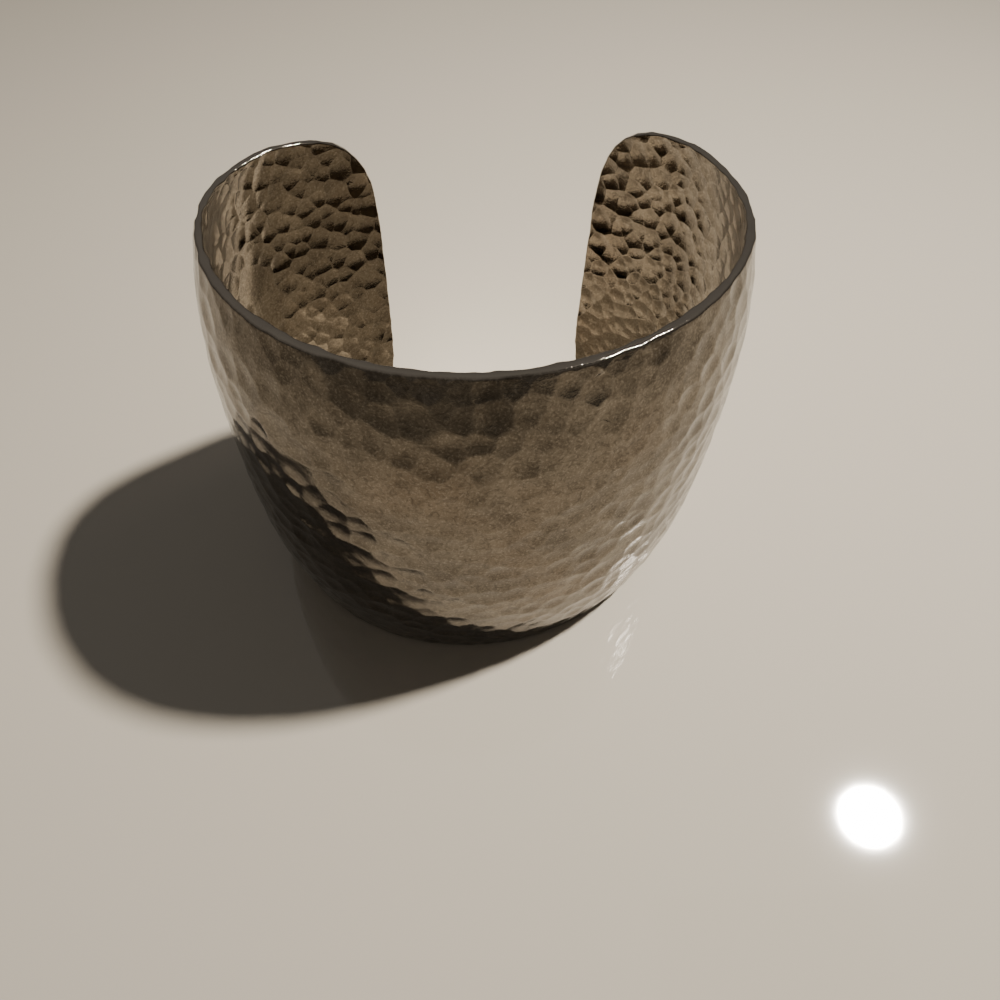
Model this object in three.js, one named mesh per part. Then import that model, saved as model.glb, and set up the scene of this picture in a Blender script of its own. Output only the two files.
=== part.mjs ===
// Open cuff bracelet bent from one sheet of metal. It stands on its lower edge,
// with the middle of the band at the front (-Y) and the opening at the back (+Y).
import * as THREE from 'three';
import { mergeVertices } from 'three/addons/utils/BufferGeometryUtils.js';

// Driving dimensions, in millimetres and degrees
const bandHeight = 50; // from the lower edge to the upper edge
const sheetThickness = 0.9;
const crown = 2.85; // how far the band swells outwards between its two edges
const crownPower = 2.8; // 2 is a plain parabola, more keeps the middle flatter
const cornerReach = 21.5; // length of band over which an end rounds in
const cornerPower = 4; // 2 is an ellipse, more makes the corners squarer
const tipFlat = 15; // upright stretch left at the middle of each end

// Bends from the front middle round to each tip. The cuff was closed by hand,
// so the two arms differ a little.
const leftArm = [
  { radius: 33, turn: 13.5 },
  { radius: 28, turn: 66.5 },
  { radius: 18, turn: 64 },
  { radius: 105, turn: 6.5 },
];
const rightArm = [
  { radius: 33, turn: 16 },
  { radius: 33.5, turn: 45.5 },
  { radius: 22.5, turn: 73.5 },
  { radius: 65, turn: 9.5 },
];

// Fineness of the mesh: steps along the plain band, along each end and up the band
const bandSteps = 40;
const endSteps = 12;
const heightSteps = 14;

const armLength = (arm) =>
  arm.reduce((sum, bend) => sum + bend.radius * THREE.MathUtils.degToRad(bend.turn), 0);

// Place and heading on the plan of the band, a distance along one arm from the front.
function alongArm(arm, distance) {
  const place = { x: 0, y: 0, heading: 0 };
  let left = distance;
  for (const bend of arm) {
    const bendLength = bend.radius * THREE.MathUtils.degToRad(bend.turn);
    const last = bend === arm.at(-1);
    const step = last ? left : Math.min(left, bendLength);
    const next = place.heading + step / bend.radius;
    place.x += bend.radius * (Math.sin(next) - Math.sin(place.heading));
    place.y += bend.radius * (Math.cos(place.heading) - Math.cos(next));
    place.heading = next;
    left -= step;
    if (left <= 0) break;
  }
  return place;
}

// Outline of a rounded end, from 0 where it starts to 1 at the tip: how far along
// it the point lies, and what share of the band's height is left there.
function endOutline(t) {
  const other = (value) => Math.pow(1 - Math.pow(value, cornerPower), 1 / cornerPower);
  const corner = Math.pow(0.5, 1 / cornerPower);
  if (t < 0.6) {
    const along = (t / 0.6) * corner;
    return { along, height: other(along) };
  }
  const height = THREE.MathUtils.lerp(corner, tipFlat / bandHeight, (t - 0.6) / 0.4);
  return { along: other(height), height };
}

// Distance along the arm and share of height for a column of the blank, counted
// from the front middle (0) to the tip (1).
function column(share, arm) {
  const plain = armLength(arm) - cornerReach;
  const plainShare = bandSteps / (bandSteps + 2 * endSteps);
  if (share <= plainShare) return { distance: (share / plainShare) * plain, height: 1 };
  const end = endOutline((share - plainShare) / (1 - plainShare));
  return { distance: plain + end.along * cornerReach, height: end.height };
}

// The flat blank is a box 2 long, 2 high and one sheet thick. Every point of it
// is cut to the outline, crowned and bent round the wrist.
function bendBlank(geometry) {
  const points = geometry.getAttribute('position');
  for (let i = 0; i < points.count; i += 1) {
    const side = points.getX(i) < 0 ? -1 : 1;
    const arm = side < 0 ? leftArm : rightArm;
    const { distance, height } = column(Math.abs(points.getX(i)), arm);
    const level = points.getZ(i) * height;
    const plan = alongArm(arm, distance);
    const outwards = -points.getY(i) - crown * Math.pow(Math.abs(level), crownPower);
    points.setXYZ(
      i,
      side * (plan.x + Math.sin(plan.heading) * outwards),
      plan.y - Math.cos(plan.heading) * outwards,
      (level + 1) * bandHeight / 2,
    );
  }
}

function cuffGeometry() {
  const steps = bandSteps + 2 * endSteps;
  const blank = new THREE.BoxGeometry(2, sheetThickness, 2, steps, 1, heightSteps);
  blank.deleteAttribute('normal');
  blank.deleteAttribute('uv');
  const geometry = mergeVertices(blank);
  bendBlank(geometry);
  geometry.computeBoundingBox();
  const middle = geometry.boundingBox.getCenter(new THREE.Vector3());
  geometry.translate(-middle.x, -middle.y, 0);
  geometry.computeVertexNormals();
  return geometry;
}

const warmSilver = new THREE.MeshStandardMaterial({
  name: 'warm silver metal',
  color: new THREE.Color(0.6, 0.54, 0.46),
  roughness: 0.32,
  metalness: 1,
});

const cuff = new THREE.Mesh(cuffGeometry(), warmSilver);
cuff.name = 'cuff';

const bracelet = new THREE.Group();
bracelet.add(cuff);

export default bracelet;
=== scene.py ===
# Hammered metal cuff bracelet, standing on its lower edge on a pale table top
import math
import random
from collections import namedtuple

import bmesh
import bpy
from mathutils import Matrix, Vector, kdtree, noise


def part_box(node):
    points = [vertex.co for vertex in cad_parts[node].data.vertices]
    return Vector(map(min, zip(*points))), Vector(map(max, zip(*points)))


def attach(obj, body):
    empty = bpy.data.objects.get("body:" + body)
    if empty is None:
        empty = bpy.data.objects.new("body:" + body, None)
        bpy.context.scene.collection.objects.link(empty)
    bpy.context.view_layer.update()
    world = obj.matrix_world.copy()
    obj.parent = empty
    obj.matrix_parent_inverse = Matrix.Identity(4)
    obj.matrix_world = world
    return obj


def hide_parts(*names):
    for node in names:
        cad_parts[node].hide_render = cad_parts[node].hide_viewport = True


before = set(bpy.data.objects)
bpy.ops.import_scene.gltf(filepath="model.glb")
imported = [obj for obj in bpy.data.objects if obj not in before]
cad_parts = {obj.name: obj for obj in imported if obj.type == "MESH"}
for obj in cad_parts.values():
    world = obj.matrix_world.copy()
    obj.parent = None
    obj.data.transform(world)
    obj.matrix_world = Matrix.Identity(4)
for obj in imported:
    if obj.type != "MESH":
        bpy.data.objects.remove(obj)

# the cuff, in millimetres and degrees
cuff = {
    "height": 50,
    "sheet": 0.9,
    "crown": 2.85,  # how far the band swells outwards between its edges
    "crownPower": 2.8,
    "cornerReach": 21.5,  # length of band over which an end rounds in
    "cornerPower": 4,
    "cornerSteps": 11,  # straight cuts on each corner
    "leftBends": [(33, 13.5), (28, 66.5), (18, 64), (105, 6.5)],  # radius and turn, from the front
    "rightBends": [(33, 16), (33.5, 45.5), (22.5, 73.5), (65, 9.5)],
    "edgeRound": 0.2,  # rounding of the rim
    "edgeWave": 0.22,  # how far in from true the rim was filed, at its worst
    "waveLength": 4.5,
    "waveReach": 1.6,  # how far in from the rim the unevenness is felt
}

# the hammering: a blow has a place, the radius of its mark and the radius of the hollow it leaves
Blow = namedtuple("Blow", "at mark dish")
hammer = {
    "rimSpacing": 2.55,
    "scatter": 0.36,
    "mark": (0.44, 0.74),  # radius of a mark, against the spacing
    "sharedReach": 4.3,  # blows this near the rim land on both faces alike
    "overhang": 1.3,  # blows may land this far off the sheet
    "ridgeStep": 0.74,  # length of one edge along a ridge
    "slide": 0.35,  # the furthest that a ridge bows
    "neighbourReach": 7.5,
    # the plainest marks by the front edge: along, up, mark radius, hollow radius
    "byRim": [
        (2.5, 21.2, 1.9, 8), (-4.6, 20.8, 1.8, 9), (-7.4, 22.9, 1.2, 7), (-10.4, 21.6, 1.5, 10),
        (-16.8, 21.9, 1.5, 8), (-14.3, 22.3, 1.2, 8), (6.4, 21.6, 1.6, 11),
    ],
}
outerBlows = {
    "seed": 11,
    "spacing": 2.6,
    "dish": (6, 15),
    "rings": (0.83, 0.46),  # loops from ridge to middle of a hollow
    "soften": 0.014,
    "ground": 0.03,
    "placed": [
        (-1.2, 17.9, 1.7, 8), (1.6, 15.6, 1.8, 11), (-5.5, 16.8, 1.6, 9), (-1.5, 9.9, 1.9, 8), (6.9, 17.6, 1.5, 10),
    ],
}
innerBlows = {
    "seed": 4,
    "spacing": 2.25,
    "dish": (5.5, 11),
    "rings": (0.89, 0.52),
    "soften": 0.004,
    "ground": 0.06,
    # two long flats left by the hammer's edge
    "placed": [(-52.8, 8.6, 3.1, 60), (-53.8, 4.2, 2.9, 55)],
}


def bendLength(bends):
    return sum(radius * math.radians(turn) for radius, turn in bends)


leftLength = bendLength(cuff["leftBends"])
rightLength = bendLength(cuff["rightBends"])
halfHeight = cuff["height"] / 2


def endStart(side):
    # where the band starts to round in, on the left or the right arm
    return (rightLength if side > 0 else leftLength) - cuff["cornerReach"]


def outlineCorners():
    # upper right quarter of an end, from the straight edge round to the tip
    power = cuff["cornerPower"]
    corners = []
    for step in range(cuff["cornerSteps"] + 1):
        angle = step / cuff["cornerSteps"] * math.pi / 2
        along = math.sin(angle) ** (2 / power) if angle else 0
        up = max(0, math.cos(angle)) ** (2 / power)
        corners.append(Vector((along * cuff["cornerReach"], up * halfHeight)))
    return corners


def outlineCuts(inset):
    # the straight lines that trim the sheet: a point on each and the way out of the metal
    cuts = [(Vector((0, halfHeight - inset, 0)), Vector((0, 1, 0))),
            (Vector((0, inset - halfHeight, 0)), Vector((0, -1, 0)))]
    corners = outlineCorners()
    for side in (-1, 1):
        for up in (-1, 1):
            for a, b in zip(corners[1:], corners[2:]):
                out = Vector((b.y - a.y, a.x - b.x)).normalized() * -1
                middle = (a + b) / 2 - out * inset
                place = Vector((side * (endStart(side) + middle.x), up * middle.y, 0))
                cuts.append((place, Vector((side * out.x, up * out.y, 0))))
    return cuts


def wayOut(x, y):
    # direction out of the sheet, in its own plane, for a point on the outline
    side = math.copysign(1, x)
    along = max(0, abs(x) - endStart(side)) / cuff["cornerReach"]
    power = cuff["cornerPower"]
    out = Vector((
        side * along ** (power - 1) / cuff["cornerReach"],
        math.copysign((abs(y) / halfHeight) ** (power - 1) / halfHeight, y),
        0,
    ))
    return out.normalized()


def insideBy(x, y):
    # roughly how far a point lies inside the outline
    side = math.copysign(1, x)
    power = cuff["cornerPower"]
    along = max(0, abs(x) - endStart(side)) / cuff["cornerReach"]
    up = abs(y) / halfHeight
    level = (along ** power + up ** power) ** (1 / power)
    slope = Vector((along ** (power - 1) / cuff["cornerReach"], up ** (power - 1) / halfHeight)).length
    return (1 - level) / max(slope / max(level, 0.01) ** (power - 1), 1e-6)


def makeBlows(face):
    # placed marks first, then a scattered field; near the rim the scatter is the same on both faces
    byRim, placed = (
        [Blow(Vector((x, y, 0)), mark, dish) for x, y, mark, dish in marks]
        for marks in (hammer["byRim"], face["placed"])
    )
    blows = byRim + placed
    tries = scatter(hammer["rimSpacing"], random.Random(3), face["dish"])
    nearRim = [blow for blow in tries if insideBy(blow.at.x, blow.at.y) < hammer["sharedReach"]]
    blows += addClear([], nearRim, byRim, 0.45)
    tries = scatter(face["spacing"], random.Random(face["seed"]), face["dish"])
    inner = [blow for blow in tries if insideBy(blow.at.x, blow.at.y) >= hammer["sharedReach"]]
    return blows + addClear([], inner, byRim + placed, 0.45)


def scatter(gap, chance, dish):
    # an uneven honeycomb of blows over the whole sheet and a little past it
    blows = []
    rowGap = gap * math.sqrt(3) / 2
    small, large = hammer["mark"]
    for row in range(-1, int(cuff["height"] / rowGap) + 3):
        x = -leftLength - 2 * gap + (row % 2) * gap / 2
        while x < rightLength + 2 * gap:
            aside, up = (chance.uniform(-1, 1) * gap * hammer["scatter"] for _ in range(2))
            at = Vector((x + aside, row * rowGap - halfHeight + up, 0))
            mark = gap * chance.uniform(small, large)
            hollowRadius = chance.uniform(*dish)
            if insideBy(at.x, at.y) > -hammer["overhang"]:
                blows.append(Blow(at, mark, hollowRadius))
            x += gap
    return blows


def addClear(kept, blows, others, room):
    # leave out the blows that would land on one of the chosen marks
    for blow in blows:
        if all((blow.at - other.at).length > other.mark + room for other in others):
            kept.append(blow)
    return kept


def hollow(blow, spot):
    # height of a blow's hollow over a spot: nothing at the edge of its mark, below that inside it
    return ((spot.x - blow.at.x) ** 2 + (spot.y - blow.at.y) ** 2 - blow.mark ** 2) / (2 * blow.dish)


def trim(cell, place, out):
    everything = cell.verts[:] + cell.edges[:] + cell.faces[:]
    bmesh.ops.bisect_plane(cell, geom=everything, plane_co=place, plane_no=out, clear_outer=True)


def cutCell(blow, neighbours, cuts):
    # one blow's own patch of sheet: a square trimmed where its neighbours' marks cross it
    cell = bmesh.new()
    bmesh.ops.create_grid(cell, x_segments=1, y_segments=1, size=5, matrix=Matrix.Translation(blow.at))
    for other in neighbours:
        away = other.at - blow.at
        gap = away.length
        reach = gap / 2 + (blow.mark ** 2 - other.mark ** 2) / (2 * gap)
        trim(cell, blow.at + away / gap * reach, away / gap)
    for place, out in cuts:
        if (place - blow.at).dot(out) < 7:
            trim(cell, place, out)
    return cell


def bowRidge(vert, owners):
    # slide a ridge point to where the hollows on its sides are equally deep
    start = vert.co.copy()
    for a, b in list(zip(owners, owners[1:])) * 4:
        steep = (vert.co - a.at) / a.dish - (vert.co - b.at) / b.dish
        vert.co -= steep * (hollow(a, vert.co) - hollow(b, vert.co)) / max(steep.length_squared, 1e-4)
    moved = vert.co - start
    if moved.length > hammer["slide"]:
        vert.co = start + moved * (hammer["slide"] / moved.length)


def hammeredFace(face, cuts):
    # the flat sheet divided into blows, each with loops round its hollow: X along the band, Y up it
    blows = makeBlows(face)
    tree = kdtree.KDTree(len(blows))
    for i, blow in enumerate(blows):
        tree.insert(blow.at, i)
    tree.balance()
    sheet = bmesh.new()
    scrap = bpy.data.meshes.new("scrap")
    for i, blow in enumerate(blows):
        near = [(gap, blows[j]) for _, j, gap in tree.find_range(blow.at, hammer["neighbourReach"]) if j != i]
        near.sort(key=lambda pair: pair[0])
        cell = cutCell(blow, [other for _, other in near[:18]], cuts)
        if cell.faces:
            cell.to_mesh(scrap)
            sheet.from_mesh(scrap)
        cell.free()
    bpy.data.meshes.remove(scrap)
    bmesh.ops.remove_doubles(sheet, verts=sheet.verts[:], dist=0.02)
    stepped = {}
    for edge in sheet.edges:
        stepped.setdefault(round(edge.calc_length() / hammer["ridgeStep"]) - 1, []).append(edge)
    for count, edges in stepped.items():
        if count > 0:
            bmesh.ops.bisect_edges(sheet, edges=edges, cuts=count)
    owner = {}
    for cell in sheet.faces:
        middle = cell.calc_center_median_weighted()
        near = [blows[j] for _, j, _ in tree.find_n(middle, 7)]
        owner[cell] = min(near, key=lambda blow: (blow.at - middle).length_squared - blow.mark ** 2)
    for vert in sheet.verts:
        if not vert.is_boundary:
            bowRidge(vert, [owner[cell] for cell in vert.link_faces])
    cells = sheet.faces[:]
    last = 1
    for ring in face["rings"]:
        cells = bmesh.ops.extrude_discrete_faces(sheet, faces=cells)["faces"]
        for patch in cells:
            centre = patch.calc_center_median_weighted()
            for vert in patch.verts:
                vert.co = centre + (vert.co - centre) * (ring / last)
        last = ring
    bmesh.ops.poke(sheet, faces=cells)
    unfold(sheet)
    return sheet, blows, tree


def unfold(sheet):
    # ease the few places where a bowed ridge crossed its neighbour
    for _ in range(8):
        sheet.normal_update()
        folded = {vert for patch in sheet.faces if patch.normal.z < 0.5 for vert in patch.verts}
        folded = [vert for vert in folded if not vert.is_boundary]
        print("folded", len(folded))
        if not folded:
            break
        bmesh.ops.smooth_vert(sheet, verts=folded, factor=0.6, use_axis_x=True, use_axis_y=True)


def dishSheet(sheet, face, blows, tree, outward):
    # sink every point to the hollows over it, softened where they meet, and note how near a ridge it is
    ridge = sheet.verts.layers.float.new("ridge")
    soften = face["soften"]
    levels = []
    for vert in sheet.verts:
        near = [blows[i] for _, i, _ in tree.find_n(Vector((vert.co.x, vert.co.y, 0)), 8)]
        near.sort(key=lambda blow: hollow(blow, vert.co))
        depths = [hollow(blow, vert.co) for blow in near] + [face["ground"]]
        lowest = min(depths)
        level = lowest - soften * math.log(sum(math.exp((lowest - depth) / soften) for depth in depths))
        a, b = near[:2]
        steep = ((vert.co - a.at) / a.dish - (vert.co - b.at) / b.dish).length
        vert[ridge] = math.exp(-(depths[1] - depths[0]) / max(steep, 1e-3) / 0.3)
        levels.append(level)
    middle = sum(levels) / len(levels)
    for vert, level in zip(sheet.verts, levels):
        vert.co.z = outward * (cuff["sheet"] / 2 + level - middle)


def openEdges(face):
    return [edge for edge in face.edges if len(edge.link_faces) == 1]


def roundRim(sheet, outward):
    # carry the open edge out and over, towards the middle of the sheet
    rim = sheet.verts.layers.float.new("rim")
    size = cuff["edgeRound"]
    edges = openEdges(sheet)
    lastOut = lastDown = 0
    for angle in (30, 60, 90):
        out = math.sin(math.radians(angle)) * size
        down = (1 - math.cos(math.radians(angle))) * size
        grown = bmesh.ops.extrude_edge_only(sheet, edges=edges)["geom"]
        edges = [part for part in grown if isinstance(part, bmesh.types.BMEdge)]
        for vert in (part for part in grown if isinstance(part, bmesh.types.BMVert)):
            vert.co += wayOut(vert.co.x, vert.co.y) * (out - lastOut)
            vert.co.z -= outward * (down - lastDown)
            vert[rim] = angle / 90
        lastOut, lastDown = out, down


def fileUnevenly(sheet):
    # the rim wanders a little inside its true line
    for vert in sheet.verts:
        near = 1 - insideBy(vert.co.x, vert.co.y) / cuff["waveReach"]
        if near > 0:
            spot = Vector((vert.co.x, vert.co.y, 0)) / cuff["waveLength"]
            bite = 0.5 + 0.5 * noise.noise(spot) + 0.25 * noise.noise(spot * 3)
            vert.co -= wayOut(vert.co.x, vert.co.y) * (max(0, bite) * cuff["edgeWave"] * min(1, near))


def bend(x, y, z):
    # from the flat sheet to its place round the wrist
    side = math.copysign(1, x)
    bends = cuff["rightBends"] if side > 0 else cuff["leftBends"]
    left = abs(x)
    px = py = heading = 0
    for i, (radius, turn) in enumerate(bends):
        step = left if i == len(bends) - 1 else min(left, radius * math.radians(turn))
        following = heading + step / radius
        px += radius * (math.sin(following) - math.sin(heading))
        py += radius * (math.cos(heading) - math.cos(following))
        heading = following
        left -= step
        if left <= 0:
            break
    out = z - cuff["crown"] * min(1, abs(y) / halfHeight) ** cuff["crownPower"]
    return Vector((
        side * (px + math.sin(heading) * out),
        py - math.cos(heading) * out,
        y + halfHeight,
    ))


def makeCuff():
    cuts = outlineCuts(cuff["edgeRound"])
    solid = bmesh.new()
    scrap = bpy.data.meshes.new("scrap")
    for face, outward in ((outerBlows, 1), (innerBlows, -1)):
        sheet, blows, tree = hammeredFace(face, cuts)
        dishSheet(sheet, face, blows, tree, outward)
        roundRim(sheet, outward)
        print("hammered a face with", len(blows), "blows, open edges", len(openEdges(sheet)))
        sheet.to_mesh(scrap)
        solid.from_mesh(scrap)
        sheet.free()
    bpy.data.meshes.remove(scrap)
    bmesh.ops.bridge_loops(solid, edges=openEdges(solid))
    print("open after bridge", len(openEdges(solid)))
    fileUnevenly(solid)
    sheetMap = solid.loops.layers.uv.new("sheet")
    for patch in solid.faces:
        for corner in patch.loops:
            corner[sheetMap].uv = (corner.vert.co.x / 1000, corner.vert.co.y / 1000)
    for vert in solid.verts:
        vert.co = bend(*vert.co) / 1000
    bmesh.ops.recalc_face_normals(solid, faces=solid.faces[:])
    low = Vector([min(v.co[i] for v in solid.verts) for i in range(3)])
    high = Vector([max(v.co[i] for v in solid.verts) for i in range(3)])
    frameLow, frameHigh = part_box("cuff")
    shift = (Vector(frameLow) + Vector(frameHigh)) / 2 - (low + high) / 2
    for vert in solid.verts:
        vert.co += Vector((shift.x, shift.y, -low.z))
    for patch in solid.faces:
        patch.smooth = True
    print("triangles", sum(len(f.verts) - 2 for f in solid.faces))
    mesh = bpy.data.meshes.new("hammered_cuff")
    solid.to_mesh(mesh)
    solid.free()
    piece = bpy.data.objects.new("hammered_cuff", mesh)
    bpy.context.collection.objects.link(piece)
    return piece


# the metal: warm grey nickel silver, dulled by wear and tarnish
metal = {
    "bare": (0.18, 0.155, 0.123, 1),
    "tarnished": (0.105, 0.089, 0.07, 1),
    "coppery": (0.215, 0.165, 0.118, 1),
    "rubbed": (0.34, 0.3, 0.25, 1),  # on the ridges
    "pitted": (0.06, 0.048, 0.036, 1),
    "filed": (0.26, 0.235, 0.205, 1),  # on the rim
    "tarnishScale": 160,
    "copperScale": 55,
    "grainScale": 4000,
    "swirlScale": 1100,
    "roughness": (0.04, 0.15),
    "bumpHeight": 0.00002,
    "bumpStrength": 0.6,
}


def addNode(tree, kind, **inputs):
    node = tree.nodes.new(kind)
    for name, value in inputs.items():
        socket = node.inputs[name.replace("_", " ")]
        if isinstance(value, bpy.types.NodeSocket):
            tree.links.new(value, socket)
        else:
            socket.default_value = value
    return node


def noiseOf(tree, where, scale, detail, roughness=0.5, distortion=0):
    node = addNode(tree, "ShaderNodeTexNoise", Vector=where, Scale=scale, Detail=detail,
                   Roughness=roughness, Distortion=distortion)
    return node.outputs["Fac"]


def spread(tree, value, low, high, toLow=0, toHigh=1):
    node = tree.nodes.new("ShaderNodeMapRange")
    tree.links.new(value, node.inputs["Value"])
    for name, amount in (("From Min", low), ("From Max", high), ("To Min", toLow), ("To Max", toHigh)):
        node.inputs[name].default_value = amount
    return node.outputs["Result"]


def blendColour(tree, amount, a, b):
    node = tree.nodes.new("ShaderNodeMix")
    node.data_type = "RGBA"
    for name, value in (("Factor_Float", amount), ("A_Color", a), ("B_Color", b)):
        socket = next(s for s in node.inputs if s.identifier == name)
        if isinstance(value, bpy.types.NodeSocket):
            tree.links.new(value, socket)
        else:
            socket.default_value = value
    return next(s for s in node.outputs if s.identifier == "Result_Color")


def sums(tree, kind, a, b):
    node = tree.nodes.new("ShaderNodeMath")
    node.operation = kind
    for socket, value in zip(node.inputs, (a, b)):
        if isinstance(value, bpy.types.NodeSocket):
            tree.links.new(value, socket)
        else:
            socket.default_value = value
    return node.outputs["Value"]


def attribute(tree, name):
    node = tree.nodes.new("ShaderNodeAttribute")
    node.attribute_name = name
    return node.outputs["Fac"]


def makeMetal():
    material = bpy.data.materials.new("hammered metal")
    material.use_nodes = True
    tree = material.node_tree
    shader = tree.nodes["Principled BSDF"]
    where = tree.nodes.new("ShaderNodeTexCoord").outputs["Object"]
    tarnish = spread(tree, noiseOf(tree, where, metal["tarnishScale"], 6, 0.62, 0.6), 0.4, 0.66)
    copper = spread(tree, noiseOf(tree, where, metal["copperScale"], 3), 0.52, 0.7, 0, 0.45)
    grain = noiseOf(tree, where, metal["grainScale"], 2, 0.6)
    swirl = noiseOf(tree, where, metal["swirlScale"], 4, 0.65, 1.8)
    ridge = attribute(tree, "ridge")
    rim = attribute(tree, "rim")
    inHollow = sums(tree, "MULTIPLY", tarnish, spread(tree, ridge, 0, 1, 1, 0.85))
    colour = blendColour(tree, inHollow, metal["bare"], metal["tarnished"])
    colour = blendColour(tree, copper, colour, metal["coppery"])
    colour = blendColour(tree, spread(tree, ridge, 0.35, 1, 0, 0.12), colour, metal["rubbed"])
    colour = blendColour(tree, spread(tree, grain, 0.5, 0.75, 0, 0.6), colour, metal["rubbed"])
    colour = blendColour(tree, spread(tree, swirl, 0.55, 0.35, 0, 0.55), colour, metal["pitted"])
    colour = blendColour(tree, rim, colour, metal["filed"])
    tree.links.new(colour, shader.inputs["Base Color"])
    shader.inputs["Metallic"].default_value = 1
    rough = sums(tree, "ADD", sums(tree, "MULTIPLY", swirl, 0.6), sums(tree, "MULTIPLY", inHollow, 0.35))
    polished = sums(tree, "MULTIPLY", ridge, 0.3)
    rough = spread(tree, sums(tree, "SUBTRACT", rough, polished), 0.05, 0.65, *metal["roughness"])
    tree.links.new(rough, shader.inputs["Roughness"])
    height = sums(tree, "ADD", grain, sums(tree, "MULTIPLY", swirl, 1.4))
    bump = addNode(tree, "ShaderNodeBump", Strength=metal["bumpStrength"],
                   Distance=metal["bumpHeight"], Height=height)
    tree.links.new(bump.outputs["Normal"], shader.inputs["Normal"])
    return material


# a plain, pale, polished table top
table = {"colour": (0.6, 0.55, 0.475, 1), "roughness": 0.04, "specular": 0.75, "size": 1.5}


def makeFloor():
    floorMesh = bpy.data.meshes.new("floor")
    top = bmesh.new()
    bmesh.ops.create_grid(top, x_segments=1, y_segments=1, size=table["size"])
    top.to_mesh(floorMesh)
    top.free()
    floor = bpy.data.objects.new("floor", floorMesh)
    bpy.context.collection.objects.link(floor)
    material = bpy.data.materials.new("pale table top")
    material.use_nodes = True
    shader = material.node_tree.nodes["Principled BSDF"]
    shader.inputs["Base Color"].default_value = table["colour"]
    shader.inputs["Roughness"].default_value = table["roughness"]
    shader.inputs["Specular IOR Level"].default_value = table["specular"]
    floorMesh.materials.append(material)


view = {
    "lens": 27,
    "azimuth": -3.28,
    "elevation": 53.5,
    "roll": 2.65,
    "distance": 0.0851,
    "aim": (0.0024, -0.0171, 0),
}


def makeCamera():
    low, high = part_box("cuff")
    aim = (Vector(low) + Vector(high)) / 2 + Vector(view["aim"])
    turn = (
        Matrix.Rotation(math.radians(view["azimuth"]), 4, "Z")
        @ Matrix.Rotation(math.radians(90 - view["elevation"]), 4, "X")
        @ Matrix.Rotation(math.radians(view["roll"]), 4, "Z")
    )
    camera = bpy.data.objects.new("camera", bpy.data.cameras.new("camera"))
    bpy.context.collection.objects.link(camera)
    camera.data.lens = view["lens"]
    camera.data.clip_start = 0.005
    camera.rotation_euler = turn.to_euler()
    camera.location = aim + turn @ Vector((0, 0, view["distance"]))
    bpy.context.scene.camera = camera


room = {
    "lamp": {"place": (0.36, 0.1, 0.62), "aim": (0.03, 0.03, 0), "size": 0.05, "power": 1.35,
             "spread": 70, "colour": (1, 0.93, 0.82)},
    # light thrown back on the table by the polished inside of the left arm
    "bounce": {"place": (-0.002, 0.004, 0.046), "aim": (0, 0.002, 0), "size": 0.045, "power": 0.03,
               "spread": 180, "colour": (1, 0.9, 0.74)},
    "flag": {"middle": (0.118, -0.094, 0.248), "size": (0.093, 0.156), "density": 0.55},
    "horizon": (0.2, 0.185, 0.165, 1),
    "overhead": (0.34, 0.32, 0.29, 1),
    "fill": 0.25,  # how much of the room's glow reaches matt surfaces
}


def areaLight(name, values):
    light = bpy.data.objects.new(name, bpy.data.lights.new(name, "AREA"))
    bpy.context.collection.objects.link(light)
    light.data.shape = "DISK"
    light.data.size = values["size"]
    light.data.energy = values["power"]
    light.data.color = values["colour"]
    light.data.spread = math.radians(values["spread"])
    light.location = values["place"]
    toward = Vector(values["aim"]) - Vector(values["place"])
    light.rotation_euler = toward.to_track_quat("-Z", "Y").to_euler()
    return light


def makeFlag():
    # a gauze, out of the camera's sight, that dims the lamp on the table in front
    card = bmesh.new()
    bmesh.ops.create_grid(card, x_segments=1, y_segments=1, size=0.5)
    bmesh.ops.scale(card, vec=(*room["flag"]["size"], 1), verts=card.verts)
    bmesh.ops.translate(card, vec=room["flag"]["middle"], verts=card.verts)
    mesh = bpy.data.meshes.new("flag")
    card.to_mesh(mesh)
    card.free()
    flag = bpy.data.objects.new("flag", mesh)
    bpy.context.collection.objects.link(flag)
    material = bpy.data.materials.new("black gauze")
    material.use_nodes = True
    shader = material.node_tree.nodes["Principled BSDF"]
    shader.inputs["Base Color"].default_value = (0.02, 0.02, 0.02, 1)
    shader.inputs["Alpha"].default_value = room["flag"]["density"]
    mesh.materials.append(material)
    flag.visible_camera = False


def makeLight():
    areaLight("lamp", room["lamp"])
    bounce = areaLight("bounce", room["bounce"])
    bounce.visible_camera = bounce.visible_glossy = False
    makeFlag()
    world = bpy.data.worlds.new("room")
    bpy.context.scene.world = world
    world.use_nodes = True
    tree = world.node_tree
    up = addNode(tree, "ShaderNodeSeparateXYZ", Vector=tree.nodes.new("ShaderNodeTexCoord").outputs["Generated"])
    glow = blendColour(tree, spread(tree, up.outputs["Z"], 0.2, 0.8), room["horizon"], room["overhead"])
    tree.links.new(glow, tree.nodes["Background"].inputs["Color"])
    matt = tree.nodes.new("ShaderNodeLightPath").outputs["Is Diffuse Ray"]
    tree.links.new(spread(tree, matt, 0, 1, 1, room["fill"]), tree.nodes["Background"].inputs["Strength"])


print("camera and light")
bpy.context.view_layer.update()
makeCamera()
makeLight()
makeFloor()
print("cuff")
piece = makeCuff()
piece.data.materials.append(makeMetal())
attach(piece, "root")
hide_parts("cuff")
